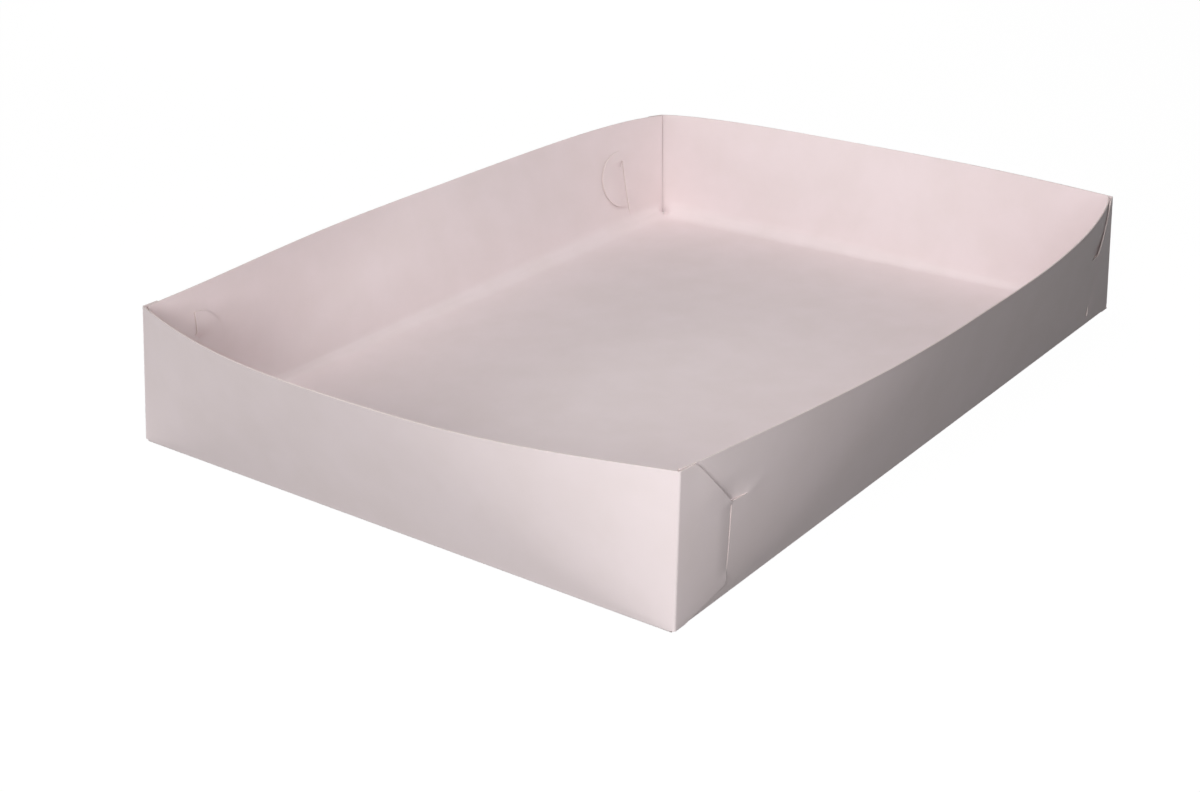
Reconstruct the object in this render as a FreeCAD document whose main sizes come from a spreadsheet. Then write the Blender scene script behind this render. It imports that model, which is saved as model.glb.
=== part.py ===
import FreeCAD, Part
import math
import os
import Sketcher
from FreeCAD import Placement, Rotation, Vector

# Open tray folded from one sheet of white board. The origin is under the
# middle of the floor, +X runs along the long side, +Y across it, +Z is up.
doc = FreeCAD.newDocument("FoldedTray")

# Driving dimensions in millimetres, apart from the skews and the three exponents
DIMENSIONS = [
    ("trayLength", 420.0, "outside length at the floor folds"),
    ("trayWidth", 292.0, "outside width at the floor folds"),
    ("wallHeight", 65.0, "board height of a wall from floor to rim"),
    ("boardThickness", 0.6, "thickness of the board"),
    ("foldRadius", 1.1, "outer radius of every fold"),
    ("layerGap", 0.15, "clearance between two layers of board"),
    ("cornerLeanLong", 4.65, "inward lean of a corner's rim along the tray"),
    ("cornerLeanShort", 1.85, "inward lean of a corner's rim across the tray"),
    ("bowLeft", 21.3, "outward bow of the left end wall's rim"),
    ("bowRight", 14.5, "outward bow of the right end wall's rim"),
    ("bowFront", 17.7, "outward bow of the front long wall's rim"),
    ("bowBack", 19.5, "outward bow of the back long wall's rim"),
    ("skewLeft", -0.09, "share by which the left bow is fuller to its right"),
    ("skewRight", 0.49, "the same of the right end wall, seen from outside"),
    ("skewFront", 0.34, "the same of the front long wall"),
    ("skewBack", -0.98, "the same of the back long wall"),
    ("bowPower", 2.6, "fullness of a bow, where 2 is a parabola"),
    ("skewPower", 1.5, "how slowly a skew sets in from the middle"),
    ("bowFan", 0.5, "how far a bow fans out from the floor corners"),
    ("wallEndGap", 1.4, "clearance from a long wall's end to the end wall"),
    ("flapTopLength", 13.5, "level top edge of a lock flap"),
    ("flapEdgeStart", 7.0, "corner to the start of the flap's rising edge"),
    ("flapEdgeHeight", 7.0, "height of the flap's lower edge at the slit"),
    ("slitDistance", 34.3, "corner to the neck in the lock slit"),
    ("slitBottom", 5.5, "height of the slit's lower end"),
    ("slitClearance", 0.2, "room around the neck in the slit"),
    ("armLength", 8.4, "length of the slit's top arm"),
    ("armRise", 0.5, "rise of the arm over its length"),
    ("armWidth", 0.35, "width of the cut that makes the arm"),
    ("neckBottom", 13.2, "height of the neck's lower edge"),
    ("neckTop", 42.4, "height of the neck's upper edge"),
    ("hookDistance", 3.8, "neck to the straight back of the head"),
    ("notchDepth", 4.6, "drop of the neck's top edge to the notch"),
    ("headRadius", 17.1, "radius of the half-round head"),
    ("headHeight", 31.6, "height of the head's centre"),
]

sheet = doc.addObject("Spreadsheet::Sheet", "Sizes")
for row, (name, value, meaning) in enumerate(DIMENSIONS, start=1):
    sheet.set(f"A{row}", name)
    sheet.set(f"B{row}", str(value))
    sheet.set(f"C{row}", meaning)
    sheet.setAlias(f"B{row}", name)
doc.recompute()


def size(name):
    return float(sheet.get(name))


height = size("wallHeight")
board = size("boardThickness")
foldRadius = size("foldRadius")
layerPitch = board + size("layerGap")

# How finely the bowed skins and the corner folds are drawn
POINTS_UP = 6
STATIONS = 7
STATION_CROWDING = 1.6
BEND_STEPS = 4
FLAP_STEPS = 5
RISES = [step / (POINTS_UP - 1) for step in range(POINTS_UP)]

# Formulas that several pieces share
PITCH = "(Sizes.boardThickness + Sizes.layerGap)"
END_FOLD_RUN = "(Sizes.trayWidth - 2 * Sizes.foldRadius)"
LONG_FOLD_RUN = "(Sizes.trayLength - 2 * (Sizes.boardThickness + Sizes.wallEndGap))"
SLIT_NEAR = "Sizes.slitDistance - Sizes.slitClearance"
NECK_FAR = "Sizes.slitDistance + Sizes.boardThickness"
SLIT_FAR = f"{NECK_FAR} + Sizes.slitClearance"
SLIT_TOP = "Sizes.neckTop + Sizes.slitClearance"
ARM_END = f"{SLIT_FAR} + Sizes.armLength"
HOOK = f"{NECK_FAR} + Sizes.hookDistance"
BEYOND_FLAP = "Sizes.slitDistance + 2 * Sizes.headRadius"
ABOVE_RIM = "2 * Sizes.wallHeight"
UNDER_FLOOR = "-Sizes.wallHeight"

ALONG = Vector(1, 0, 0)
ACROSS = Vector(0, 1, 0)
UP = Vector(0, 0, 1)


def bind(thing, expressions):
    for path, expression in expressions.items():
        thing.setExpression(path, expression)


def mirrored(source, name, normal):
    copy = doc.addObject("Part::Mirroring", name)
    copy.Source = source
    copy.Normal = normal
    return copy


def joined(name, shapes):
    union = doc.addObject("Part::MultiFuse", name)
    union.Shapes = shapes
    return union


def combined(kind, name, base, tool):
    result = doc.addObject(kind, name)
    result.Base = base
    result.Tool = tool
    return result


# A wall is described from outside: along it from corner to corner, inward from
# its fold and up from the ground. Its corners lean inward, its rim bows outward
# between them, and the bow fans out from the floor corners, as bent board does.
class Wall:
    def __init__(self, turns, half, foldDistance, lean, leanAlong, side):
        self.turn = Rotation(UP, 90 * turns)
        self.half = half - foldRadius
        self.foldDistance = foldDistance
        self.lean = lean
        self.leanAlong = leanAlong
        self.bow = size("bow" + side)
        self.skew = size("skew" + side)

    def point(self, share, rise, depth):
        """A point at a share -1 to 1 of the half length, a rise 0 to 1 up the
        board and a depth below the outermost skin."""
        reach = (1 - abs(share)) * self.half
        if rise > 0:
            reach = min(reach / rise ** size("bowFan"), self.half)
        fromMiddle = 1 - reach / self.half
        lopsided = self.skew * math.copysign(fromMiddle ** size("skewPower"), share)
        bow = self.bow * (1 - fromMiddle ** size("bowPower")) * (1 + lopsided)
        inward = rise * (self.lean - bow)
        slant = height - foldRadius
        sideways = share * self.leanAlong * rise
        climb = math.sqrt((slant * rise) ** 2 - inward ** 2 - sideways ** 2)
        cornerClimb = math.sqrt(slant ** 2 - self.lean ** 2 - self.leanAlong ** 2)
        along = share * (self.half - self.leanAlong * climb / cornerClimb)
        local = Vector(along, inward + depth - self.foldDistance, foldRadius + climb)
        return self.turn.multVec(local)

    def line(self, share, depth):
        return [self.point(share, rise, depth) for rise in RISES]

    def inwardDirection(self):
        return self.turn.multVec(ACROSS)


leanLong = size("cornerLeanLong")
leanShort = size("cornerLeanShort")
halfLength = size("trayLength") / 2
halfWidth = size("trayWidth") / 2
front = Wall(0, halfLength, halfWidth, leanShort, leanLong, "Front")
right = Wall(1, halfWidth, halfLength, leanLong, leanShort, "Right")
back = Wall(2, halfLength, halfWidth, leanShort, leanLong, "Back")
left = Wall(3, halfWidth, halfLength, leanLong, leanShort, "Left")


def crossSection(outer, inner):
    """Closed wire up the outer skin, over the rim and down the inner skin."""
    outerCurve = Part.BSplineCurve()
    outerCurve.interpolate(Points=outer, Parameters=RISES)
    innerCurve = Part.BSplineCurve()
    innerCurve.interpolate(Points=inner[::-1], Parameters=RISES)
    return Part.Wire([
        outerCurve.toShape(),
        Part.makeLine(outer[-1], inner[-1]),
        innerCurve.toShape(),
        Part.makeLine(inner[0], outer[0]),
    ])


def wallSections(wall, shares, depth, thickness):
    return [
        crossSection(wall.line(share, depth), wall.line(share, depth + thickness))
        for share in shares
    ]


def crowdedShares(wall, endInset):
    """Shares from end to end of a wall, closer together towards its corners."""
    last = 1 - endInset / wall.half
    steps = [(step / STATIONS) ** STATION_CROWDING for step in range(STATIONS + 1)]
    firstHalf = [last * (step - 1) for step in steps]
    return firstHalf + [-share for share in firstHalf[-2::-1]]


def loft(name, sections):
    skin = doc.addObject("Part::Feature", name)
    skin.Shape = Part.makeLoft(sections, True)
    skin.Placement = Placement()
    return skin


def endWall(name, wall):
    return loft(name, wallSections(wall, crowdedShares(wall, 0), 0, board))


def longSkin(name, wall, depth, thickness):
    """Sheet along a long wall, which stops short of the end walls."""
    shares = crowdedShares(wall, board + size("wallEndGap") - foldRadius)
    return loft(name, wallSections(wall, shares, depth, thickness))


def flapSkin(name, wall, end):
    """Lock flap before its outline is cut, outside a long wall's end."""
    reach = (size("slitDistance") + board) / wall.half
    shares = [end * (1 - reach * step / FLAP_STEPS) for step in range(FLAP_STEPS + 1)]
    return loft(name, wallSections(wall, shares, 0, board))


def cornerFold(name, wall, nextWall):
    """Upright fold round a corner, from one wall's end to the next one's start."""
    away = wall.inwardDirection()
    towards = nextWall.inwardDirection()
    centres = [point + away * foldRadius for point in wall.line(1, 0)]
    sections = wallSections(wall, [1], 0, board)
    for step in range(1, BEND_STEPS):
        angle = math.pi / 2 * step / BEND_STEPS
        radial = away * math.cos(angle) + towards * math.sin(angle)
        outer = [centre - radial * foldRadius for centre in centres]
        inner = [centre - radial * (foldRadius - board) for centre in centres]
        sections.append(crossSection(outer, inner))
    sections += wallSections(nextWall, [-1], 0, board)
    return loft(name, sections)


def floorFold(name, turns, run, centreX, centreY):
    """Quarter-round fold along one side, from the floor to the wall's foot."""
    downAndOut = Rotation(Vector(0, -1, 0), Vector(0, 0, -1), ALONG, "ZXY")
    cylinders = []
    for layer, radius in (
        ("Outer", "Sizes.foldRadius"),
        ("Inner", "Sizes.foldRadius - Sizes.boardThickness"),
    ):
        cylinder = doc.addObject("Part::Cylinder", name + layer)
        cylinder.Angle = 90
        cylinder.Placement.Rotation = Rotation(UP, 90 * turns) * downAndOut
        bind(cylinder, {
            "Radius": radius,
            "Height": run,
            "Placement.Base.x": centreX,
            "Placement.Base.y": centreY,
            "Placement.Base.z": "Sizes.foldRadius",
        })
        cylinders.append(cylinder)
    return combined("Part::Cut", name, *cylinders)


def outline(name, points):
    """Closed sketch on the front wall's left corner: each point is a distance
    from the corner and a height, bound to the sizes."""
    sketch = doc.addObject("Sketcher::SketchObject", name)
    sketch.Placement.Rotation = Rotation(ALONG, 90)
    bind(sketch, {
        "Placement.Base.x": "-Sizes.trayLength / 2",
        "Placement.Base.y": "-Sizes.trayWidth / 2",
    })
    turn = 2 * math.pi / len(points)
    corners = [Vector(math.cos(turn * k), math.sin(turn * k), 0) for k in range(len(points))]
    for start, end in zip(corners, corners[1:] + corners[:1]):
        sketch.addGeometry(Part.LineSegment(start, end))
    for number, (distance, rise) in enumerate(points):
        following = (number + 1) % len(points)
        sketch.addConstraint(Sketcher.Constraint("Coincident", number, 2, following, 1))
        for kind, formula in (("DistanceX", distance), ("DistanceY", rise)):
            constraint = Sketcher.Constraint(kind, -1, 1, number, 1, 1.0)
            place = sketch.addConstraint(constraint)
            sketch.setExpression(f"Constraints[{place}]", formula)
    return sketch


def prism(name, points):
    """Outline carried through every layer of the wall."""
    solid = doc.addObject("Part::Extrusion", name)
    solid.Base = outline(name + "Outline", points)
    solid.DirMode = "Normal"
    solid.Solid = True
    bind(solid, {"LengthFwd": "Sizes.wallHeight", "LengthRev": "Sizes.wallHeight"})
    return solid


def halfDisc(name):
    """Round part of the lock head, whose straight back faces the corner."""
    disc = doc.addObject("Part::Cylinder", name)
    disc.Angle = 180
    disc.Placement.Rotation = Rotation(Vector(0, 0, -1), ALONG, Vector(0, -1, 0), "ZXY")
    bind(disc, {
        "Radius": "Sizes.headRadius",
        "Height": "2 * Sizes.wallHeight",
        "Placement.Base.x": f"-Sizes.trayLength / 2 + {HOOK}",
        "Placement.Base.y": "-Sizes.trayWidth / 2 + Sizes.wallHeight",
        "Placement.Base.z": "Sizes.headHeight",
    })
    return disc


# Floor and its four folds
floor = doc.addObject("Part::Box", "Floor")
bind(floor, {
    "Length": "Sizes.trayLength - 2 * Sizes.foldRadius",
    "Width": f"Sizes.trayWidth - 2 * ({PITCH} + Sizes.foldRadius)",
    "Height": "Sizes.boardThickness",
    "Placement.Base.x": "-Length / 2",
    "Placement.Base.y": "-Width / 2",
})
frontFold = floorFold(
    "FrontFold", 0, LONG_FOLD_RUN,
    f"-{LONG_FOLD_RUN} / 2",
    f"-Sizes.trayWidth / 2 + {PITCH} + Sizes.foldRadius",
)
rightFold = floorFold(
    "RightFold", 1, END_FOLD_RUN,
    "Sizes.trayLength / 2 - Sizes.foldRadius",
    f"-{END_FOLD_RUN} / 2",
)
pieces = [
    floor,
    frontFold,
    rightFold,
    mirrored(frontFold, "BackFold", ACROSS),
    mirrored(rightFold, "LeftFold", ALONG),
]

# Lock outlines: what is trimmed off a flap, the slit with its arm, the neck
# that passes through it, and the head that holds inside
flapTrim = prism("FlapTrim", [
    ("Sizes.flapTopLength", ABOVE_RIM),
    ("Sizes.flapTopLength", "Sizes.wallHeight"),
    ("Sizes.slitDistance", "Sizes.neckTop"),
    (NECK_FAR, "Sizes.neckTop"),
    (NECK_FAR, "Sizes.flapEdgeHeight"),
    ("Sizes.slitDistance", "Sizes.flapEdgeHeight"),
    ("Sizes.flapEdgeStart", "Sizes.foldRadius"),
    ("Sizes.flapEdgeStart", UNDER_FLOOR),
    (BEYOND_FLAP, UNDER_FLOOR),
    (BEYOND_FLAP, ABOVE_RIM),
])
slit = prism("Slit", [
    (SLIT_NEAR, "Sizes.slitBottom"),
    (SLIT_FAR, "Sizes.slitBottom"),
    (SLIT_FAR, f"{SLIT_TOP} - Sizes.armWidth"),
    (ARM_END, f"{SLIT_TOP} + Sizes.armRise - Sizes.armWidth"),
    (ARM_END, f"{SLIT_TOP} + Sizes.armRise"),
    (SLIT_NEAR, SLIT_TOP),
])
neck = prism("Neck", [
    ("Sizes.slitDistance", "Sizes.neckBottom"),
    (NECK_FAR, "Sizes.neckBottom"),
    (NECK_FAR, "Sizes.neckTop"),
    ("Sizes.slitDistance", "Sizes.neckTop"),
])
headRoot = prism("HeadRoot", [
    ("Sizes.slitDistance", "Sizes.neckBottom"),
    (HOOK, "Sizes.headHeight - Sizes.headRadius"),
    (HOOK, "Sizes.neckTop - Sizes.notchDepth"),
    (NECK_FAR, "Sizes.neckTop"),
    ("Sizes.slitDistance", "Sizes.neckTop"),
])
head = joined("Head", [headRoot, halfDisc("HalfDisc")])

frontTools = {}
backTools = {}
for tool in (flapTrim, slit, neck, head):
    bothCorners = [tool, mirrored(tool, tool.Name + "Right", ALONG)]
    frontTools[tool.Name] = joined("Front" + tool.Name, bothCorners)
    backTools[tool.Name] = mirrored(frontTools[tool.Name], "Back" + tool.Name, ACROSS)

# End walls, upright corner folds, and long walls with their locks
pieces += [endWall("RightEnd", right), endWall("LeftEnd", left)]
for name, wall, nextWall in (
    ("FrontRightFold", front, right),
    ("BackRightFold", right, back),
    ("BackLeftFold", back, left),
    ("FrontLeftFold", left, front),
):
    pieces.append(cornerFold(name, wall, nextWall))
for name, wall, tools in (("Front", front, frontTools), ("Back", back, backTools)):
    for side, end in (("First", -1), ("Last", 1)):
        flap = flapSkin(f"{name}{side}FlapSkin", wall, end)
        pieces.append(combined("Part::Cut", f"{name}{side}Flap", flap, tools["FlapTrim"]))
    wallSkin = longSkin(name + "WallSkin", wall, layerPitch, board)
    neckSkin = longSkin(name + "NeckSkin", wall, board / 2, 2 * layerPitch)
    headSkin = longSkin(name + "HeadSkin", wall, 2 * layerPitch, board)
    pieces += [
        combined("Part::Cut", name + "Wall", wallSkin, tools["Slit"]),
        combined("Part::Common", name + "Necks", neckSkin, tools["Neck"]),
        combined("Part::Common", name + "LockHeads", headSkin, tools["Head"]),
    ]

# The sheet is one piece of board, so its parts are one solid
tray = joined("Tray", pieces)
tray.Label = "tray"
doc.recompute()

for thing in doc.Objects:
    if "Invalid" in thing.State or "Error" in thing.State:
        raise SystemExit(f"{thing.Name} did not build: {thing.State}")
if tray.Shape.isNull() or not tray.Shape.isValid():
    raise SystemExit("the tray's shape is not valid")
if len(tray.Shape.Solids) != 1:
    raise SystemExit(f"the tray is {len(tray.Shape.Solids)} solids, not one")

os.makedirs("parts", exist_ok=True)
tray.Shape.exportStep(f"parts/{tray.Label}.step")
print(f"tray: {tray.Shape.Volume:.0f} mm3 of board, {len(tray.Shape.Faces)} faces")
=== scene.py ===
import math

import bmesh
import bpy
from mathutils import Matrix, Vector
from mathutils.geometry import delaunay_2d_cdt


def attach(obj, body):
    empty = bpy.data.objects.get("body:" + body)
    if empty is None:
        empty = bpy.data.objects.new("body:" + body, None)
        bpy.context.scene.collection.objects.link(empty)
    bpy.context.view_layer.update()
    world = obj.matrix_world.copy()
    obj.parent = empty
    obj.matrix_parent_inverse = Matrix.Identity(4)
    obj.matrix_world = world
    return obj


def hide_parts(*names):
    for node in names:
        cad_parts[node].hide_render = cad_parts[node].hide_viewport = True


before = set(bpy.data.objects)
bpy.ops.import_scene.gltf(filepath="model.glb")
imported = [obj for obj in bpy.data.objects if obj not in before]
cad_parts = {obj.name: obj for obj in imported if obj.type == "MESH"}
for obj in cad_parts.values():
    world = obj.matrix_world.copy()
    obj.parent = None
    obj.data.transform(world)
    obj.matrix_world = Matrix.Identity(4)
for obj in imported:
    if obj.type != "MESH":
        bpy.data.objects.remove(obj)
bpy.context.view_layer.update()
mm = 0.001


def hexToLinear(code):
    channels = [int(code[i:i + 2], 16) / 255 for i in (1, 3, 5)]
    linear = [c / 12.92 if c <= 0.04045 else ((c + 0.055) / 1.055) ** 2.4 for c in channels]
    return (*linear, 1)


def addNode(tree, kind, settings=None, links=None):
    node = tree.nodes.new(kind)
    for name, value in (settings or {}).items():
        setattr(node, name, value)
    for socket, value in (links or {}).items():
        if isinstance(value, bpy.types.NodeSocket):
            tree.links.new(value, node.inputs[socket])
        else:
            node.inputs[socket].default_value = value
    return node


# White clay-coated folding boxboard, die cut. The clay coat gives a smooth, satin
# white with a slightly warm cast, and fibres under it leave a faint pebbling.
# Lengths are in millimetres.
whiteBoard = {
    "coat": "#EFE2E3",
    "thinCoat": "#ECDFDF",
    "blotch": 26.0,
    "pebble": 0.9,
    "fibre": 0.35,
    "fibreShare": 0.4,
    "pebbleHeight": 0.035,
    "bumpStrength": 0.35,
    "roughness": 0.52,
    "specular": 0.12,
}
# Sockets of a colour mix by number, because its socket names repeat for each data type
mixFirst, mixSecond, mixResult = 6, 7, 2


def makeCoatedBoard():
    material = bpy.data.materials.new("coatedBoard")
    material.use_nodes = True
    tree = material.node_tree
    tree.nodes.clear()
    place = addNode(tree, "ShaderNodeTexCoord").outputs["Object"]
    blotch = addNode(tree, "ShaderNodeTexNoise", {"noise_dimensions": "3D"}, {
        "Vector": place, "Scale": 1 / (whiteBoard["blotch"] * mm), "Detail": 3.0, "Roughness": 0.55,
    })
    spread = addNode(tree, "ShaderNodeMapRange", {}, {
        "Value": blotch.outputs["Fac"], "From Min": 0.35, "From Max": 0.65,
    })
    colour = addNode(tree, "ShaderNodeMix", {"data_type": "RGBA"}, {
        "Factor": spread.outputs["Result"],
        mixFirst: hexToLinear(whiteBoard["thinCoat"]),
        mixSecond: hexToLinear(whiteBoard["coat"]),
    })
    pebble = addNode(tree, "ShaderNodeTexNoise", {}, {
        "Vector": place, "Scale": 1 / (whiteBoard["pebble"] * mm), "Detail": 2.0, "Roughness": 0.5,
    })
    fibre = addNode(tree, "ShaderNodeTexNoise", {}, {
        "Vector": place, "Scale": 1 / (whiteBoard["fibre"] * mm), "Detail": 1.0,
    })
    relief = addNode(tree, "ShaderNodeMath", {"operation": "MULTIPLY_ADD"}, {
        0: fibre.outputs["Fac"], 1: whiteBoard["fibreShare"], 2: pebble.outputs["Fac"],
    })
    bump = addNode(tree, "ShaderNodeBump", {}, {
        "Height": relief.outputs["Value"], "Strength": whiteBoard["bumpStrength"],
        "Distance": whiteBoard["pebbleHeight"] * mm,
    })
    surface = addNode(tree, "ShaderNodeBsdfPrincipled", {}, {
        "Base Color": colour.outputs[mixResult], "Normal": bump.outputs["Normal"],
        "Roughness": whiteBoard["roughness"], "IOR": 1.5, "Specular IOR Level": whiteBoard["specular"],
    })
    addNode(tree, "ShaderNodeOutputMaterial", {}, {"Surface": surface.outputs["BSDF"]})
    return material


# The same board's core where the die cut it. Bare pulp is rougher and a little
# darker than the coat, with a fine mottle. Part of that darkness is painted shade, so that cut edges at the
# gaps between layers read as thin dark lines.
cutCore = {"pulp": "#E9DDDA", "shade": "#DCCDC9", "mottle": 0.5, "roughness": 0.85, "specular": 0.2}


def makeCutEdge():
    material = bpy.data.materials.new("cutPulpAndShade")
    material.use_nodes = True
    tree = material.node_tree
    tree.nodes.clear()
    place = addNode(tree, "ShaderNodeTexCoord").outputs["Object"]
    mottle = addNode(tree, "ShaderNodeTexNoise", {}, {
        "Vector": place, "Scale": 1 / (cutCore["mottle"] * mm), "Detail": 2.0,
    })
    # Pulp tones, darker than the coat partly as painted shade along the cut edges
    colour = addNode(tree, "ShaderNodeMix", {"data_type": "RGBA"}, {
        "Factor": mottle.outputs["Fac"],
        mixFirst: hexToLinear(cutCore["pulp"]),
        mixSecond: hexToLinear(cutCore["shade"]),
    })
    surface = addNode(tree, "ShaderNodeBsdfPrincipled", {}, {
        "Base Color": colour.outputs[mixResult], "Roughness": cutCore["roughness"], "IOR": 1.5,
        "Specular IOR Level": cutCore["specular"],
    })
    addNode(tree, "ShaderNodeOutputMaterial", {}, {"Surface": surface.outputs["BSDF"]})
    return material


coatedBoard = makeCoatedBoard()
cutPulpAndShade = makeCutEdge()
print("materials ready")

# The folded sheet, in millimetres unless said otherwise
sheetSizes = {
    "length": 420.0,
    "width": 292.0,
    "height": 65.0,
    "board": 0.6,
    "foldRadius": 1.1,
    "layerPitch": 0.75,         # one layer of board and its clearance
    "leanLong": 4.65,           # inward lean of a corner's rim along the tray
    "leanShort": 1.85,          # inward lean of a corner's rim across the tray
    "bowPower": 2.6,            # plain number, 2 is a parabola
    "skewPower": 1.5,           # plain number, how slowly a skew sets in from the middle
    "bowFan": 0.5,              # plain number, how far a bow fans out from the floor corners
    "wallEndGap": 1.4,
    "waviness": 0.22,           # slow unevenness of the walls
    "waveLength": 55.0,
    "waveLevel": 0.4,           # plain number, the noise value that leaves the board in place
    "foldSteps": 6,             # count of faces round a fold
    "weld": 0.01,               # vertices closer than this are one
    "sharpAngle": 45,           # degrees
}
# Each wall in turn round the tray: its outward bow in millimetres, and how lopsided the bow is
walls = {
    "front": {"turn": 0, "bow": 17.7, "skew": 0.34},
    "right": {"turn": 1, "bow": 14.5, "skew": 0.49},
    "back": {"turn": 2, "bow": 19.5, "skew": -0.98},
    "left": {"turn": 3, "bow": 21.3, "skew": -0.09},
}
radius = sheetSizes["foldRadius"]
slant = sheetSizes["height"] - radius
pitch = sheetSizes["layerPitch"]
longHalf = sheetSizes["length"] / 2 - radius
shortHalf = sheetSizes["width"] / 2 - radius

# The lock at each corner, in millimetres from the corner along the long wall and up
lockSizes = {
    "slitFoot": (33.6, 6.0),
    "slitHead": (34.9, 42.0),
    "armEnd": 42.9,
    "creaseEnd": (51.8, 45.3),
    "flapTop": 13.5,
    "flapFoot": (7.0, 1.1),
    "flapKnee": (28.0, 5.6),
    "flapToe": (33.2, 7.0),
    "neckFoot": 13.2,
    "neckHead": 41.6,
    "notch": (38.7, 37.9),
    "headBack": 38.7,
    "headHeight": 31.6,
    "headRadius": 17.1,
    "headFoot": (45.0, 15.6),
    "headStandOff": 0.45,
    "slitTentReach": 26,        # how far the columns beside the slit follow its slope
    "armClearance": 0.5,
    "endCurl": 1.2,
    "endCurlReach": 6.0,
}
# How each lock differs: its head's slip along and up, and how far its flap's edge stands off
locks = {
    ("front", -1): {"slip": (0, 0), "edgeStandOff": 0.38},
    ("front", 1): {"slip": (0, 0), "edgeStandOff": 0.06},
    ("back", -1): {"slip": (-1.6, 0), "edgeStandOff": 0.3},
    ("back", 1): {"slip": (-4.4, 4.2), "edgeStandOff": 0.3},
}


def smooth(value):
    value = min(max(value, 0), 1)
    return value * value * (3 - 2 * value)


# Goes smoothly from 0 to 1 over a length that begins at start
def ramp(value, start, length):
    return smooth((value - start) / length)


# Place in a wall's flat blank of a point measured from the leaning corner
def blankPoint(fromCorner, height):
    rise = (height - radius) / slant
    share = (longHalf + radius - fromCorner) / (longHalf - sheetSizes["leanLong"] * rise)
    return share * longHalf, height - radius


# Heights of the rows in every wall, so that all the walls meet in the same rows
rowSizes = {
    "slitFoot": 6,
    "arm": 42,
    "footRows": 3,
    "slitRows": 18,
    "slitStep": 2.0,
    "topRows": 12,
    "creaseRows": 4,
}
footRise = rowSizes["slitFoot"] - radius
topRise = sheetSizes["height"] - rowSizes["arm"]
rowHeights = [radius + footRise * step / rowSizes["footRows"] for step in range(rowSizes["footRows"])]
rowHeights += [rowSizes["slitFoot"] + step * rowSizes["slitStep"] for step in range(rowSizes["slitRows"])]
topRows = rowSizes["topRows"]
rowHeights += [rowSizes["arm"] + topRise * step / topRows for step in range(topRows + 1)]
slitRow = rowHeights.index(rowSizes["slitFoot"])
armRow = rowHeights.index(rowSizes["arm"])


# Distances from a wall's end. Each stop has a step, and the way to it is cut evenly in about such steps.
def spacedReaches(first, stops):
    reaches = [first]
    for stop, step in stops:
        start = reaches[-1]
        count = max(1, round((stop - start) / step))
        reaches += [start + (stop - start) * n / count for n in range(1, count)]
        reaches.append(stop)
    return reaches


slitReach = 32.0
wallEnd = sheetSizes["wallEndGap"] - radius + sheetSizes["board"]
longReaches = spacedReaches(wallEnd, [(slitReach, 1.3), (56, 1.25), (80, 3), (longHalf, 5)])
longColumns = [reach - longHalf for reach in longReaches]
longColumns += [-column for column in longColumns[-2::-1]]
shortReaches = spacedReaches(0, [(pitch, pitch), (12, 1.6), (40, 2.5), (shortHalf, 4.5)])
shortColumns = [reach - shortHalf for reach in shortReaches]
shortColumns += [-column for column in shortColumns[-2::-1]]
slitColumn = longReaches.index(slitReach)


# How the slit stands open: its tongue outward, the wall round it inward
slitOpening = {
    "foot": 6,
    "footFade": 9,
    "head": 43.5,
    "headFade": 11,
    "tongueLift": 0.2,
    "tongueReach": 9,
    "recess": 0.78,
    "cornerReach": 13,
    "middleReach": 8,
}


# Share of the slit's opening at a height
def slitWindow(height):
    opened = ramp(height, slitOpening["foot"], slitOpening["footFade"])
    return opened * (1 - ramp(height, slitOpening["head"], slitOpening["headFade"]))


# How far inside the flap's skin the long wall's skin lies
def wallDepth(fromSlit, height, tongue):
    window = slitWindow(height)
    if tongue:
        return pitch - slitOpening["tongueLift"] * window * math.exp(-fromSlit / slitOpening["tongueReach"])
    reach = slitOpening["cornerReach"] if fromSlit <= 0 else slitOpening["middleReach"]
    return pitch + slitOpening["recess"] * window * math.exp(-(fromSlit / reach) ** 2)


# The crease that runs on from the arm's end, raised outward and fading along its way
crease = {"raised": 0.35, "width": 1.5, "fade": 0.7}


def creaseDepth(fromCorner, height):
    start = Vector((lockSizes["armEnd"], rowSizes["arm"]))
    end = Vector(lockSizes["creaseEnd"])
    line = end - start
    share = (Vector((fromCorner, height)) - start).dot(line) / line.length_squared
    nearest = start + line * min(max(share, 0), 1)
    away = (Vector((fromCorner, height)) - nearest).length
    raised = crease["raised"] * math.exp(-(away / crease["width"]) ** 2)
    return -raised * (1 - crease["fade"] * min(max(share, 0), 1))


# Where a flap's depth changes, as the start and the length of each change. Along is
# from the corner and up is from the ground.
flapChanges = {
    "neckAlong": (26, 17),
    "neckUp": (9, 5),
    "headAlong": (-2.2, 2),      # from the head's back
    "headUp": (39, 4),
    "standOffAlong": (0, 10),    # from the head's back
    "liftAlong": (10, 14),
    "liftUp": (40, 12),
    "liftEnd": (27, 6),
}
headClearance = 0.15


# How deep a flap lies: outside the long wall as far as the slit, and inside it at the head
def flapDepth(fromCorner, height, lock):
    fromHead = fromCorner - (lockSizes["headBack"] + lock["slip"][0])
    neckThrough = ramp(fromCorner, *flapChanges["neckAlong"]) * ramp(height, *flapChanges["neckUp"])
    headThrough = ramp(fromHead, *flapChanges["headAlong"])
    above = ramp(height, *flapChanges["headUp"])
    through = neckThrough + (headThrough - neckThrough) * above
    wallSkin = wallDepth(fromCorner - lockSizes["slitHead"][0], height, False)
    inside = wallSkin + sheetSizes["board"] + headClearance
    seat = 2 * pitch + (inside - 2 * pitch) * above
    standOff = lockSizes["headStandOff"] * ramp(fromHead, *flapChanges["standOffAlong"])
    lifted = ramp(fromCorner, *flapChanges["liftAlong"]) * ramp(height, *flapChanges["liftUp"])
    lifted *= 1 - ramp(fromCorner, *flapChanges["liftEnd"])
    return seat * through + standOff - lock["edgeStandOff"] * lifted


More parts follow.
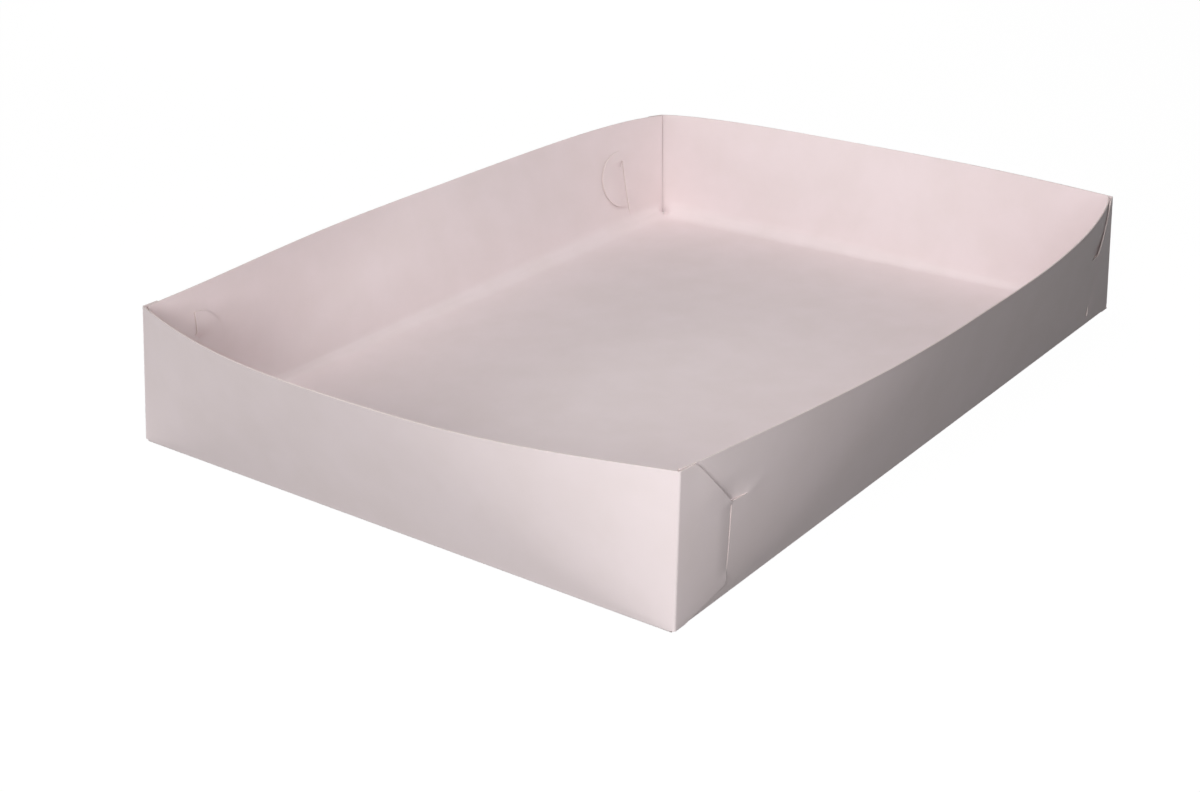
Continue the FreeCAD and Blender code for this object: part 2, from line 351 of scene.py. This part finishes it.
# Flat wall with a slit and an arm near each end, which gives back the row of its foot
def longWallBlank(mesh):
    made = {}
    lastColumn = len(longColumns) - 1
    lastRow = len(rowHeights) - 1

    def vertexAt(column, row, inTongue):
        mirrored = column > lastColumn / 2
        near = lastColumn - column if mirrored else column
        onSlit = near == slitColumn and slitRow < row <= armRow
        x = longColumns[near]
        height = rowHeights[row]
        fromSlit = x - longColumns[slitColumn]
        reach = longHalf + x
        armReach = lockSizes["armEnd"] - radius
        onArm = row == armRow and near >= slitColumn and reach < armReach - lockSizes["armClearance"]
        tongue = inTongue and (onSlit or onArm)
        key = (column, row, tongue)
        if key not in made:
            lower = Vector(lockSizes["slitFoot"])
            upper = Vector(lockSizes["slitHead"])
            slitDistance = lower.x + (upper.x - lower.x) * (height - lower.y) / (upper.y - lower.y)
            slitX = -blankPoint(slitDistance, height)[0]
            tent = max(0, 1 - abs(fromSlit) / lockSizes["slitTentReach"])
            moved = x + (slitX - longColumns[slitColumn]) * smooth(tent)
            beside = near >= slitColumn and slitRow < row <= armRow
            asTongue = tongue or (beside and not onSlit and not onArm and row < armRow)
            depth = wallDepth(fromSlit, height, asTongue)
            fromCorner = longHalf + moved + radius
            if row >= armRow - rowSizes["creaseRows"]:
                depth += creaseDepth(fromCorner, height)
            fromEnd = moved + longHalf - longReaches[0]
            depth += lockSizes["endCurl"] * (height / slant) * math.exp(-fromEnd / lockSizes["endCurlReach"])
            place = (-moved if mirrored else moved, height - radius, depth)
            made[key] = mesh.verts.new(place)
        return made[key]

    for column in range(lastColumn):
        for row in range(lastRow):
            near = min(column, lastColumn - column - 1)
            inTongue = near >= slitColumn and row < armRow
            corners = ((column, row), (column + 1, row), (column + 1, row + 1), (column, row + 1))
            mesh.faces.new([vertexAt(c, r, inTongue) for c, r in corners])
    return [made[(column, 0, False)] for column in range(lastColumn + 1)]


# A flap's outline and its mesh: lengths in millimetres, counts, and the plain leanShare
outlineSizes = {
    "step": 1.4,
    "arcSteps": 28,
    "footStart": 0.7,
    "neckClearance": 0.2,
    "slitClearance": 0.1,
    "topCut": (1.5, 1.2),
}
flapMesh = {"step": 1.5, "columns": 40, "rows": 44, "stagger": 0.01, "clearance": 0.75, "leanShare": 0.85}
mergeDistance = 1e-5


# Outline of a flap and its head, from the foot of its fold round to the top
def flapOutline(lock):
    def run(start, end):
        count = max(1, round((Vector(end) - Vector(start)).length / outlineSizes["step"]))
        return [tuple(Vector(start).lerp(Vector(end), n / count)) for n in range(count)]

    slip = Vector(lock["slip"])
    centre = Vector((lockSizes["headBack"], lockSizes["headHeight"])) + slip
    reach = lockSizes["headRadius"]
    headFoot = Vector(lockSizes["headFoot"]) + slip
    footAngle = math.atan2(headFoot.y - centre.y, headFoot.x - centre.x)
    arc = []
    for step in range(outlineSizes["arcSteps"] + 1):
        angle = footAngle + (math.pi / 2 - footAngle) * step / outlineSizes["arcSteps"]
        arc.append(tuple(centre + reach * Vector((math.cos(angle), math.sin(angle)))))
    toe = lockSizes["flapToe"]
    neckFoot = (lockSizes["slitFoot"][0] + outlineSizes["neckClearance"], lockSizes["neckFoot"])
    slitTop = (lockSizes["slitHead"][0] - outlineSizes["slitClearance"], lockSizes["neckHead"])
    topHeight = sheetSizes["height"]
    topEnd = (lockSizes["flapTop"], topHeight)
    topCut = (lockSizes["flapTop"] + outlineSizes["topCut"][0], topHeight - outlineSizes["topCut"][1])
    points = run((radius + outlineSizes["footStart"], lockSizes["flapFoot"][1]), lockSizes["flapFoot"])
    points += run(lockSizes["flapFoot"], lockSizes["flapKnee"])
    points += run(lockSizes["flapKnee"], toe)
    points += run(toe, neckFoot)
    points += run(neckFoot, arc[0])
    points += arc[:-1]
    notch = tuple(Vector(lockSizes["notch"]) + slip)
    points += run(arc[-1], notch)
    points += run(notch, slitTop)
    points += run(slitTop, topCut)
    points += run(topCut, topEnd)
    points += run(topEnd, (radius, topHeight))
    return points


# Flat flap in the long wall's frame, which gives back the column of its corner fold
def flapBlank(mesh, mirrored, lock):
    fold = [(-longHalf, height - radius) for height in rowHeights[::-1]]
    rim = []
    for fromCorner, height in flapOutline(lock):
        x, y = blankPoint(fromCorner, height)
        rim.append((-x, y))
    border = fold + rim
    count = len(border)
    edges = [(n, (n + 1) % count) for n in range(count)]
    inside = []
    step = flapMesh["step"]
    for column in range(1, flapMesh["columns"]):
        for row in range(1, flapMesh["rows"]):
            inside.append((-longHalf + column * step, row * step - (column % 2) * flapMesh["stagger"]))
    flat = [Vector(p) for p in border]
    kept = [Vector(p) for p in inside if clearOf(p, border, flapMesh["clearance"])]
    points, _, triangles, origins, _, _ = delaunay_2d_cdt(flat + kept, edges, [], 1, mergeDistance)
    verts = []
    for point in points:
        height = point.y + radius
        fromCorner = longHalf + point.x + radius
        lean = sheetSizes["leanLong"] * point.y / slant * flapMesh["leanShare"]
        depth = flapDepth(fromCorner + lean, height, lock)
        verts.append(mesh.verts.new((-point.x if mirrored else point.x, point.y, depth)))
    for triangle in triangles:
        mesh.faces.new([verts[n] for n in triangle])
    column = {}
    for vert, sources in zip(verts, origins):
        for source in sources:
            if source < len(fold):
                column[source] = vert
    return [column[n] for n in range(len(fold))][::-1]


# Whether a point is inside a border and at least a gap away from the border's points
def clearOf(point, border, gap):
    inside = False
    count = len(border)
    for n in range(count):
        ax, ay = border[n]
        bx, by = border[(n + 1) % count]
        if (ay > point[1]) != (by > point[1]):
            if point[0] < (bx - ax) * (point[1] - ay) / (by - ay) + ax:
                inside = not inside
        if (ax - point[0]) ** 2 + (ay - point[1]) ** 2 < gap ** 2:
            return False
    return inside


# Flat end wall, which gives back its columns
def endWallBlank(mesh):
    grid = [[mesh.verts.new((x, height - radius, 0)) for height in rowHeights] for x in shortColumns]
    for column in range(len(grid) - 1):
        for row in range(len(rowHeights) - 1):
            mesh.faces.new((
                grid[column][row], grid[column + 1][row], grid[column + 1][row + 1], grid[column][row + 1],
            ))
    return grid


# Bends a flat blank into a wall. The blank's X is along the wall, its Y up the
# board and its Z the depth below the outermost skin.
def buildBowedBoard():
    tree = bpy.data.node_groups.new("bowedBoard", "GeometryNodeTree")
    face = tree.interface
    face.new_socket("Geometry", in_out="INPUT", socket_type="NodeSocketGeometry")
    for name in ("Half Length", "Board Height", "Fold Radius", "Fold Distance", "Lean", "Lean Along",
                 "Bow", "Bow Power", "Bow Fan", "Skew", "Skew Power", "Turn", "Waviness", "Wave Length"):
        face.new_socket(name, in_out="INPUT", socket_type="NodeSocketFloat")
    face.new_socket("Material", in_out="INPUT", socket_type="NodeSocketMaterial")
    face.new_socket("Geometry", in_out="OUTPUT", socket_type="NodeSocketGeometry")
    given = addNode(tree, "NodeGroupInput").outputs
    mathKind = "ShaderNodeMath"
    leastRise = 1e-6
    place = addNode(tree, "GeometryNodeInputPosition").outputs["Position"]
    flat = addNode(tree, "ShaderNodeSeparateXYZ", {}, {"Vector": place}).outputs
    share = addNode(tree, mathKind, {"operation": "DIVIDE"}, {
        0: flat["X"], 1: given["Half Length"],
    }).outputs[0]
    rise = addNode(tree, mathKind, {"operation": "DIVIDE"}, {
        0: flat["Y"], 1: given["Board Height"],
    }).outputs[0]
    size = addNode(tree, mathKind, {"operation": "ABSOLUTE"}, {0: share}).outputs[0]
    reach = addNode(tree, mathKind, {"operation": "SUBTRACT"}, {0: 1.0, 1: size}).outputs[0]
    safeRise = addNode(tree, mathKind, {"operation": "MAXIMUM"}, {0: rise, 1: leastRise}).outputs[0]
    fan = addNode(tree, mathKind, {"operation": "POWER"}, {0: safeRise, 1: given["Bow Fan"]}).outputs[0]
    spread = addNode(tree, mathKind, {"operation": "DIVIDE"}, {0: reach, 1: fan}).outputs[0]
    fanned = addNode(tree, mathKind, {"operation": "MINIMUM"}, {0: spread, 1: 1.0}).outputs[0]
    middle = addNode(tree, mathKind, {"operation": "SUBTRACT"}, {0: 1.0, 1: fanned}).outputs[0]
    raised = addNode(tree, mathKind, {"operation": "POWER"}, {0: middle, 1: given["Bow Power"]}).outputs[0]
    bowShare = addNode(tree, mathKind, {"operation": "SUBTRACT"}, {0: 1.0, 1: raised}).outputs[0]
    side = addNode(tree, mathKind, {"operation": "SIGN"}, {0: share}).outputs[0]
    setIn = addNode(tree, mathKind, {"operation": "POWER"}, {0: middle, 1: given["Skew Power"]}).outputs[0]
    lopsided = addNode(tree, mathKind, {"operation": "MULTIPLY"}, {0: setIn, 1: side}).outputs[0]
    fullness = addNode(tree, mathKind, {"operation": "MULTIPLY_ADD"}, {
        0: lopsided, 1: given["Skew"], 2: 1.0,
    }).outputs[0]
    bow = addNode(tree, mathKind, {"operation": "MULTIPLY"}, {0: given["Bow"], 1: bowShare}).outputs[0]
    outward = addNode(tree, mathKind, {"operation": "MULTIPLY"}, {0: bow, 1: fullness}).outputs[0]
    bowed = addNode(tree, mathKind, {"operation": "SUBTRACT"}, {0: given["Lean"], 1: outward}).outputs[0]
    inward = addNode(tree, mathKind, {"operation": "MULTIPLY"}, {0: bowed, 1: rise}).outputs[0]
    lean = addNode(tree, mathKind, {"operation": "MULTIPLY"}, {0: share, 1: given["Lean Along"]}).outputs[0]
    sideways = addNode(tree, mathKind, {"operation": "MULTIPLY"}, {0: lean, 1: rise}).outputs[0]
    boardSquare = addNode(tree, mathKind, {"operation": "MULTIPLY"}, {0: flat["Y"], 1: flat["Y"]}).outputs[0]
    inwardSquare = addNode(tree, mathKind, {"operation": "MULTIPLY"}, {0: inward, 1: inward}).outputs[0]
    sideSquare = addNode(tree, mathKind, {"operation": "MULTIPLY"}, {0: sideways, 1: sideways}).outputs[0]
    taken = addNode(tree, mathKind, {"operation": "ADD"}, {0: inwardSquare, 1: sideSquare}).outputs[0]
    left = addNode(tree, mathKind, {"operation": "SUBTRACT"}, {0: boardSquare, 1: taken}).outputs[0]
    kept = addNode(tree, mathKind, {"operation": "MAXIMUM"}, {0: left, 1: 0.0}).outputs[0]
    climb = addNode(tree, mathKind, {"operation": "SQRT"}, {0: kept}).outputs[0]
    slantSquare = addNode(tree, mathKind, {"operation": "MULTIPLY"}, {
        0: given["Board Height"], 1: given["Board Height"],
    }).outputs[0]
    leanSquare = addNode(tree, mathKind, {"operation": "MULTIPLY"}, {
        0: given["Lean"], 1: given["Lean"],
    }).outputs[0]
    alongSquare = addNode(tree, mathKind, {"operation": "MULTIPLY"}, {
        0: given["Lean Along"], 1: given["Lean Along"],
    }).outputs[0]
    leans = addNode(tree, mathKind, {"operation": "ADD"}, {0: leanSquare, 1: alongSquare}).outputs[0]
    cornerSquare = addNode(tree, mathKind, {"operation": "SUBTRACT"}, {0: slantSquare, 1: leans}).outputs[0]
    cornerClimb = addNode(tree, mathKind, {"operation": "SQRT"}, {0: cornerSquare}).outputs[0]
    climbShare = addNode(tree, mathKind, {"operation": "DIVIDE"}, {0: climb, 1: cornerClimb}).outputs[0]
    drawn = addNode(tree, mathKind, {"operation": "MULTIPLY"}, {
        0: given["Lean Along"], 1: climbShare,
    }).outputs[0]
    run = addNode(tree, mathKind, {"operation": "SUBTRACT"}, {0: given["Half Length"], 1: drawn}).outputs[0]
    along = addNode(tree, mathKind, {"operation": "MULTIPLY"}, {0: share, 1: run}).outputs[0]
    scale = addNode(tree, mathKind, {"operation": "DIVIDE"}, {0: 1.0, 1: given["Wave Length"]}).outputs[0]
    seat = addNode(tree, "ShaderNodeCombineXYZ", {}, {
        "X": flat["X"], "Y": flat["Y"], "Z": given["Bow"],
    }).outputs["Vector"]
    noise = addNode(tree, "ShaderNodeTexNoise", {}, {"Vector": seat, "Scale": scale, "Detail": 1.0})
    offset = addNode(tree, mathKind, {"operation": "SUBTRACT"}, {
        0: noise.outputs[0], 1: sheetSizes["waveLevel"],
    }).outputs[0]
    strength = addNode(tree, mathKind, {"operation": "MULTIPLY"}, {0: given["Waviness"], 1: rise}).outputs[0]
    wavy = addNode(tree, mathKind, {"operation": "MULTIPLY_ADD"}, {
        0: offset, 1: strength, 2: inward,
    }).outputs[0]
    sunk = addNode(tree, mathKind, {"operation": "ADD"}, {0: wavy, 1: flat["Z"]}).outputs[0]
    across = addNode(tree, mathKind, {"operation": "SUBTRACT"}, {
        0: sunk, 1: given["Fold Distance"],
    }).outputs[0]
    up = addNode(tree, mathKind, {"operation": "ADD"}, {0: climb, 1: given["Fold Radius"]}).outputs[0]
    bent = addNode(tree, "ShaderNodeCombineXYZ", {}, {"X": along, "Y": across, "Z": up}).outputs["Vector"]
    turned = addNode(tree, "ShaderNodeVectorRotate", {"rotation_type": "Z_AXIS"}, {
        "Vector": bent, "Angle": given["Turn"],
    }).outputs["Vector"]
    moved = addNode(tree, "GeometryNodeSetPosition", {}, {
        "Geometry": given["Geometry"], "Position": turned,
    }).outputs["Geometry"]
    real = addNode(tree, "GeometryNodeRealizeInstances", {}, {"Geometry": moved}).outputs["Geometry"]
    coated = addNode(tree, "GeometryNodeSetMaterial", {}, {
        "Geometry": real, "Material": given["Material"],
    }).outputs["Geometry"]
    addNode(tree, "NodeGroupOutput", {}, {"Geometry": coated})
    return tree


bowedBoard = buildBowedBoard()


# The places of a blank's vertices, in their order, once the tree has bent it
def bend(name, blank, wall):
    onEnd = wall["turn"] % 2 == 1
    flat = bpy.data.meshes.new(name + "Blank")
    blank.to_mesh(flat)
    flat.transform(Matrix.Scale(mm, 4))
    piece = bpy.data.objects.new(name, flat)
    bpy.context.scene.collection.objects.link(piece)
    modifier = piece.modifiers.new("bowedBoard", "NODES")
    modifier.node_group = bowedBoard
    half, foldDistance = (shortHalf, longHalf + radius) if onEnd else (longHalf, shortHalf + radius)
    lean, leanAlong = sheetSizes["leanShort"], sheetSizes["leanLong"]
    if onEnd:
        lean, leanAlong = leanAlong, lean
    values = {
        "Half Length": half * mm, "Board Height": slant * mm, "Fold Radius": radius * mm,
        "Fold Distance": foldDistance * mm, "Lean": lean * mm, "Lean Along": leanAlong * mm,
        "Bow": wall["bow"] * mm, "Bow Power": sheetSizes["bowPower"], "Bow Fan": sheetSizes["bowFan"],
        "Skew": wall["skew"], "Skew Power": sheetSizes["skewPower"], "Turn": math.radians(90 * wall["turn"]),
        "Waviness": sheetSizes["waviness"] * mm, "Wave Length": sheetSizes["waveLength"] * mm,
        "Material": coatedBoard,
    }
    for socket in bowedBoard.interface.items_tree:
        if socket.in_out == "INPUT" and socket.name in values:
            modifier[socket.identifier] = values[socket.name]
    evaluated = piece.evaluated_get(bpy.context.evaluated_depsgraph_get())
    bent = bpy.data.meshes.new_from_object(evaluated)
    piece.modifiers.clear()
    bpy.data.objects.remove(piece)
    return [vertex.co.copy() for vertex in bent.vertices]


# Puts a bent blank's faces into the tray's mesh
def addPlaces(tray, blank, places):
    verts = [tray.verts.new(place) for place in places]
    for face in blank.faces:
        tray.faces.new([verts[v.index] for v in face.verts])
    return verts


tray = bmesh.new()
flapLayer = tray.verts.layers.int.new("flap")
feet = {}
foldColumns = {}
for side, wall in walls.items():
    blank = bmesh.new()
    wallCount = None
    if wall["turn"] % 2 == 0:
        foot = longWallBlank(blank)
        wallCount = len(blank.verts)
        columns = {end: flapBlank(blank, end > 0, locks[side, end]) for end in (-1, 1)}
    else:
        grid = endWallBlank(blank)
        foot = [column[0] for column in grid]
        columns = {-1: grid[0], 1: grid[-1]}
    blank.verts.index_update()
    places = bend(side + "Wall", blank, wall)
    verts = addPlaces(tray, blank, places)
    if wallCount:
        for vertex in verts[wallCount:]:
            vertex[flapLayer] = 1
    feet[side] = [verts[v.index] for v in foot]
    for end, column in columns.items():
        foldColumns[side, end] = [verts[v.index] for v in column]
    blank.free()
print("walls bent")


# Faces between rows of vertices, each row as long as the next
def strip(rows):
    for first, second in zip(rows, rows[1:]):
        for n in range(len(first) - 1):
            tray.faces.new((first[n], first[n + 1], second[n + 1], second[n]))


# Corner folds, from each end wall round to the flap beside it
quarter = [math.pi / 2 * step / sheetSizes["foldSteps"] for step in range(sheetSizes["foldSteps"] + 1)]
corners = (
    ("right", 1, "back", -1), ("right", -1, "front", 1), ("left", 1, "front", -1), ("left", -1, "back", 1),
)
for endSide, endSign, longSide, longSign in corners:
    start = foldColumns[endSide, endSign]
    finish = foldColumns[longSide, longSign]
    rows = [start]
    for angle in quarter[1:-1]:
        row = []
        for a, b in zip(start, finish):
            centre = Vector((b.co.x, a.co.y, (a.co.z + b.co.z) / 2))
            row.append(tray.verts.new(
                centre + (a.co - centre) * math.cos(angle) + (b.co - centre) * math.sin(angle)))
        rows.append(row)
    strip(rows + [finish])

# Floor folds, each from a wall's foot down and under to the edge of the floor
floorEdges = {}
outwards = {"front": Vector((0, -1, 0)), "right": Vector((1, 0, 0)),
            "back": Vector((0, 1, 0)), "left": Vector((-1, 0, 0))}
for side, foot in feet.items():
    along = foot if side in ("front", "back") else foot[1:-1]
    rows = [along]
    for angle in quarter[1:]:
        drop = Vector((0, 0, -radius * mm * math.sin(angle)))
        back = outwards[side] * (-radius * mm * (1 - math.cos(angle)))
        rows.append([tray.verts.new(v.co + drop + back) for v in along])
    strip(rows)
    floorEdges[side] = rows[-1]

# Floor plate between the four folds
acrossY = [v.co.y for v in floorEdges["right"]]
alongX = [v.co.x for v in floorEdges["front"]]
xs = [floorEdges["left"][0].co.x] + alongX + [floorEdges["right"][0].co.x]
plate = [[tray.verts.new((x, y, 0)) for y in acrossY] for x in xs]
for n in range(len(xs) - 1):
    for k in range(len(acrossY) - 1):
        tray.faces.new((plate[n][k], plate[n + 1][k], plate[n + 1][k + 1], plate[n][k + 1]))
bmesh.ops.remove_doubles(tray, verts=tray.verts, dist=sheetSizes["weld"] * mm)

# The two far floor folds look soft in the photograph: each rounds over a radius
# that grows towards the corner between them, and the rounding fades out over the
# last millimetres before that corner. Growth is a plain number, the rest millimetres.
softFolds = {
    "back": {"firstRadius": 1.5, "lastRadius": 10.5, "growth": 0.7},
    "right": {"firstRadius": 3.5, "lastRadius": 10.5, "growth": 1.0},
}
cornerFade = 9.0


# How far in and up a point moves from a sharp fold to a rounded one. Its path
# from the fold counts up the wall, and is below zero on the floor.
def roundingDepth(path, rounding):
    if abs(path) >= rounding:
        return 0
    angle = math.pi / 4 + math.asin(path / (rounding * math.sqrt(2)))
    return rounding * (1 - math.sin(angle)) - max(-path, 0)


# Rounds the soft folds beyond the board's own radius, and leaves the flaps alone
def softenFolds():
    for vertex in tray.verts:
        if vertex[flapLayer]:
            continue
        x, y, z = vertex.co / mm
        fromBack = shortHalf + radius - pitch - y
        fromRight = longHalf + radius - x
        moves = []
        for side, fromFold, fromEnd, share in (
            ("back", fromBack, fromRight, (x / longHalf + 1) / 2),
            ("right", fromRight, fromBack, (y / shortHalf + 1) / 2),
        ):
            fold = softFolds[side]
            grown = min(max(share, 0), 1) ** fold["growth"]
            rounding = fold["firstRadius"] + (fold["lastRadius"] - fold["firstRadius"]) * grown
            if fromFold < rounding and z < rounding:
                path = z - fromFold
                depth = max(0, roundingDepth(path, rounding) - roundingDepth(path, radius))
                moves.append(depth * smooth(fromEnd / cornerFade))
            else:
                moves.append(0)
        vertex.co += Vector((-moves[1], -moves[0], max(moves))) * mm


softenFolds()
bmesh.ops.recalc_face_normals(tray, faces=tray.faces)
lowest = min(tray.faces, key=lambda face: face.calc_center_median().z)
if lowest.normal.z > 0:
    bmesh.ops.reverse_faces(tray, faces=tray.faces)
print("sheet welded", len(tray.faces), "faces")


def finishSheet():
    mesh = bpy.data.meshes.new("foldedTray")
    tray.to_mesh(mesh)
    for material in (coatedBoard, cutPulpAndShade):
        mesh.materials.append(material)
    piece = bpy.data.objects.new("foldedTray", mesh)
    bpy.context.scene.collection.objects.link(piece)
    thickness = piece.modifiers.new("thickness", "SOLIDIFY")
    thickness.thickness = sheetSizes["board"] * mm
    thickness.offset = -1
    thickness.use_even_offset = True
    thickness.material_offset_rim = 1
    evaluated = piece.evaluated_get(bpy.context.evaluated_depsgraph_get())
    solid = bpy.data.meshes.new_from_object(evaluated)
    piece.modifiers.clear()
    piece.data = solid
    solid.shade_smooth()
    solid.set_sharp_from_angle(angle=math.radians(sheetSizes["sharpAngle"]))
    return piece


foldedTray = finishSheet()
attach(foldedTray, "root")
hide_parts("tray")
print("tray finished", len(foldedTray.data.polygons), "faces")

# Studio floor, which the camera sees as white apart from the tray's faint shadow.
# Lengths are in metres.
studio = {"floorSize": 8.0, "floorDrop": 0.0002, "floorColour": "#333231", "glow": 0.985}


def makeFloor():
    mesh = bpy.data.meshes.new("studioFloor")
    half = studio["floorSize"] / 2
    mesh.from_pydata(
        [(-half, -half, 0), (half, -half, 0), (half, half, 0), (-half, half, 0)], [], [(0, 1, 2, 3)])
    floor = bpy.data.objects.new("studioFloor", mesh)
    floor.location.z = -studio["floorDrop"]
    bpy.context.scene.collection.objects.link(floor)
    material = bpy.data.materials.new("studioPaper")
    material.use_nodes = True
    tree = material.node_tree
    tree.nodes.clear()
    paths = addNode(tree, "ShaderNodeLightPath").outputs
    seen = addNode(tree, "ShaderNodeMath", {"operation": "MAXIMUM"}, {
        0: paths["Is Camera Ray"], 1: paths["Is Glossy Ray"],
    }).outputs[0]
    seenThrough = addNode(tree, "ShaderNodeMath", {"operation": "MAXIMUM"}, {
        0: seen, 1: paths["Is Transmission Ray"],
    }).outputs[0]
    glow = addNode(tree, "ShaderNodeMath", {"operation": "MULTIPLY"}, {
        0: seenThrough, 1: studio["glow"],
    }).outputs[0]
    paper = addNode(tree, "ShaderNodeBsdfDiffuse", {}, {"Color": hexToLinear(studio["floorColour"])})
    light = addNode(tree, "ShaderNodeEmission", {}, {"Strength": glow})
    both = addNode(tree, "ShaderNodeAddShader", {}, {0: paper.outputs[0], 1: light.outputs[0]})
    addNode(tree, "ShaderNodeOutputMaterial", {}, {"Surface": both.outputs[0]})
    mesh.materials.append(material)


makeFloor()

# World: white where the camera looks past the floor, a weak fill elsewhere
sky = {"fill": 0.03, "colour": "#FFFFFF"}
world = bpy.data.worlds.new("studioWorld")
bpy.context.scene.world = world
world.use_nodes = True
worldTree = world.node_tree
worldTree.nodes.clear()
skyPaths = addNode(worldTree, "ShaderNodeLightPath").outputs
direct = addNode(worldTree, "ShaderNodeMath", {"operation": "MAXIMUM"}, {
    0: skyPaths["Is Camera Ray"], 1: skyPaths["Is Glossy Ray"],
}).outputs[0]
anySeen = addNode(worldTree, "ShaderNodeMath", {"operation": "MAXIMUM"}, {
    0: direct, 1: skyPaths["Is Transmission Ray"],
}).outputs[0]
level = addNode(worldTree, "ShaderNodeMapRange", {}, {
    "Value": anySeen, "To Min": sky["fill"], "To Max": 1.0,
}).outputs["Result"]
backdrop = addNode(worldTree, "ShaderNodeBackground", {}, {
    "Color": hexToLinear(sky["colour"]), "Strength": level,
})
addNode(worldTree, "ShaderNodeOutputWorld", {}, {"Surface": backdrop.outputs[0]})

# Square lamps aimed at the origin: place and side in metres, power in watts
lamps = {
    "softKey": {"at": (-1.0, -0.35, 0.35), "side": 0.3, "power": 5.13},
    "nearKey": {"at": (-0.5, -0.6, 0.25), "side": 0.3, "power": 1.2},
    "leftFill": {"at": (-0.7, 0.7, 0.17), "side": 0.4, "power": 2.1},
    "topFill": {"at": (0.1, 0, 0.6), "side": 0.3, "power": 0.85},
    "frontFill": {"at": (-0.3, -0.14, 0.8), "side": 0.3, "power": 1.85},
    "backFill": {"at": (0.85, 0.85, 0.22), "side": 0.4, "power": 4.5},
}
for name, lamp in lamps.items():
    light = bpy.data.lights.new(name, "AREA")
    light.shape = "SQUARE"
    light.size = lamp["side"]
    light.energy = lamp["power"]
    lampObject = bpy.data.objects.new(name, light)
    lampObject.location = lamp["at"]
    aim = -Vector(lamp["at"])
    lampObject.rotation_euler = aim.to_track_quat("-Z", "Y").to_euler()
    bpy.context.scene.collection.objects.link(lampObject)

# Camera, solved from the tray's corners and rims in the photograph
view = {
    "azimuth": -143.8954, "elevation": 23.4864, "roll": -0.0688, "focalPixels": 1819.01,
    "imageWidth": 1200, "across": -0.07935, "upward": -0.03123, "away": 2.16735, "unit": 0.42,
    "sensor": 36,
}


def makeCamera():
    a = math.radians(view["azimuth"])
    e = math.radians(view["elevation"])
    r = math.radians(view["roll"])
    back = Vector((math.cos(e) * math.cos(a), math.cos(e) * math.sin(a), math.sin(e)))
    right = Vector((0, 0, 1)).cross(back).normalized()
    upwards = back.cross(right)
    rolledRight = math.cos(r) * right + math.sin(r) * upwards
    rolledUp = -math.sin(r) * right + math.cos(r) * upwards
    data = bpy.data.cameras.new("photoCamera")
    data.sensor_width = view["sensor"]
    data.lens = view["focalPixels"] / view["imageWidth"] * view["sensor"]
    camera = bpy.data.objects.new("photoCamera", data)
    bpy.context.scene.collection.objects.link(camera)
    place = (rolledRight * view["across"] + rolledUp * view["upward"] + back * view["away"]) * view["unit"]
    turn = Matrix((rolledRight, rolledUp, back)).transposed()
    camera.matrix_world = Matrix.Translation(place) @ turn.to_4x4()
    bpy.context.scene.camera = camera


makeCamera()
bpy.context.scene.view_settings.view_transform = "Standard"
